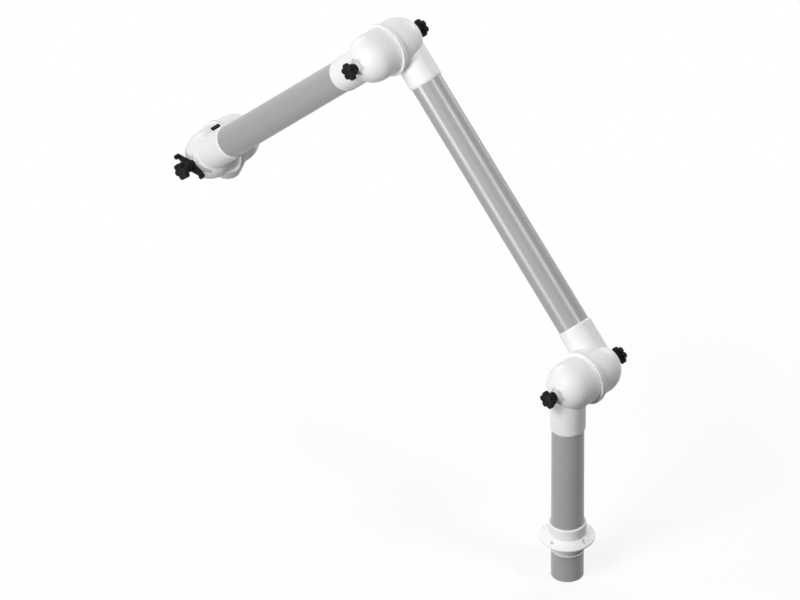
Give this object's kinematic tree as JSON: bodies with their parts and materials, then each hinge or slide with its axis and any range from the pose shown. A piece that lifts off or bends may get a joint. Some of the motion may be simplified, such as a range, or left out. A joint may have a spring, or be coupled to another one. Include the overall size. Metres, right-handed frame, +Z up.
{
  "type": "fume extraction arm",
  "caption": "Bench-mounted fume extraction arm: round tubes on swivelling elbow joints with star knobs, a damper lever, an open hood socket and a table flange.",
  "frame": {"origin": "centre of the screw circle on the underside of the table flange", "axes": "+Z up along the column, -X towards the outlet, +Y along the joint axes towards the boom's plane"},
  "size_m": [0.8451, 0.1776, 0.7974],
  "materials": {
    "white_plastic": "smooth satin moulding, white",
    "grey_aluminium": "drawn tube, satin anodised",
    "black_plastic": "fine-grained moulding, black",
    "black_steel": "spring steel, blackened",
    "zinc_steel": "turned or stamped, bright zinc",
    "brass": "turned, plain",
    "sintered_bronze": "sintered, oiled",
    "bearing_plastic": "natural bearing plastic",
    "friction_fibre": "pressed fibre, black",
    "seal_rubber": "soft, matt",
    "grey_plastic": "smooth moulding, grey"
  },
  "bodies": {
    "base": {"table_flange": "white_plastic", "swivel_bush": "bearing_plastic"},
    "column": {"column_tube": "grey_aluminium", "column_snap_rings": "zinc_steel", "column_seal": "seal_rubber", "shoulder_front_shell": "white_plastic", "shoulder_slide_ring": "bearing_plastic", "shoulder_rod": "zinc_steel", "shoulder_friction_washers": "friction_fibre", "shoulder_disc_springs": "black_steel"},
    "boom": {"boom_tube": "grey_aluminium", "boom_lower_seal": "seal_rubber", "boom_upper_seal": "seal_rubber", "shoulder_back_shell": "white_plastic", "shoulder_rod_bush": "sintered_bronze", "elbow_back_shell": "white_plastic", "elbow_rod_bush": "sintered_bronze"},
    "forearm": {"forearm_tube": "grey_aluminium", "forearm_upper_seal": "seal_rubber", "forearm_lower_seal": "seal_rubber", "elbow_front_shell": "white_plastic", "elbow_slide_ring": "bearing_plastic", "elbow_rod": "zinc_steel", "elbow_friction_washers": "friction_fibre", "elbow_disc_springs": "black_steel", "wrist_front_shell": "white_plastic", "wrist_slide_ring": "bearing_plastic", "stop_key": "black_plastic", "spindle_bush": "bearing_plastic", "lever_washer": "friction_fibre"},
    "outlet": {"wrist_back_shell": "white_plastic", "wrist_rod": "zinc_steel", "wrist_friction_washers": "friction_fibre", "wrist_disc_springs": "black_steel"},
    "damper": {"damper_lever": "black_plastic", "damper_spindle": "zinc_steel", "damper_blade": "grey_plastic", "spindle_clip": "zinc_steel"},
    "shoulder_front_knob": {"shoulder_front_knob": "black_plastic", "shoulder_front_insert": "brass"},
    "shoulder_back_knob": {"shoulder_back_knob": "black_plastic", "shoulder_back_insert": "brass"},
    "elbow_front_knob": {"elbow_front_knob": "black_plastic", "elbow_front_insert": "brass"},
    "elbow_back_knob": {"elbow_back_knob": "black_plastic", "elbow_back_insert": "brass"},
    "wrist_front_knob": {"wrist_front_knob": "black_plastic", "wrist_front_insert": "brass"},
    "wrist_back_knob": {"wrist_back_knob": "black_plastic", "wrist_back_insert": "brass"}
  },
  "joints": [
    {"name": "base_swivel", "type": "hinge", "parent": "base", "child": "column", "pos_m": [0, 0, 0], "axis": [0, 0, 1], "continuous": true},
    {"name": "shoulder", "type": "hinge", "parent": "column", "child": "boom", "pos_m": [0, 0.035, 0.277], "axis": [0, 1, 0], "range_deg": [-45, 75]},
    {"name": "elbow", "type": "hinge", "parent": "boom", "child": "forearm", "pos_m": [-0.40941, 0.035, 0.68641], "axis": [0, 1, 0], "range_deg": [-70, 85]},
    {"name": "wrist", "type": "hinge", "parent": "forearm", "child": "outlet", "pos_m": [-0.74812, 0.035, 0.34771], "axis": [0, 1, 0], "range_deg": [-100, 140]},
    {"name": "damper", "type": "hinge", "parent": "forearm", "child": "damper", "pos_m": [-0.74812, 0.035, 0.34771], "axis": [0, 1, 0], "range_deg": [-58, 32]},
    {"name": "shoulder_front_knob_turn", "type": "hinge", "parent": "column", "child": "shoulder_front_knob", "pos_m": [0, 0.035, 0.277], "axis": [0, -1, 0], "range_deg": [0, 180]},
    {"name": "shoulder_back_knob_turn", "type": "hinge", "parent": "column", "child": "shoulder_back_knob", "pos_m": [0, 0.035, 0.277], "axis": [0, 1, 0], "range_deg": [0, 180]},
    {"name": "elbow_front_knob_turn", "type": "hinge", "parent": "forearm", "child": "elbow_front_knob", "pos_m": [-0.40941, 0.035, 0.68641], "axis": [0, -1, 0], "range_deg": [0, 180]},
    {"name": "elbow_back_knob_turn", "type": "hinge", "parent": "forearm", "child": "elbow_back_knob", "pos_m": [-0.40941, 0.035, 0.68641], "axis": [0, 1, 0], "range_deg": [0, 180]},
    {"name": "wrist_front_knob_turn", "type": "hinge", "parent": "outlet", "child": "wrist_front_knob", "pos_m": [-0.74812, 0.035, 0.34771], "axis": [0, -1, 0], "range_deg": [0, 180]},
    {"name": "wrist_back_knob_turn", "type": "hinge", "parent": "outlet", "child": "wrist_back_knob", "pos_m": [-0.74812, 0.035, 0.34771], "axis": [0, 1, 0], "range_deg": [0, 180]}
  ]
}
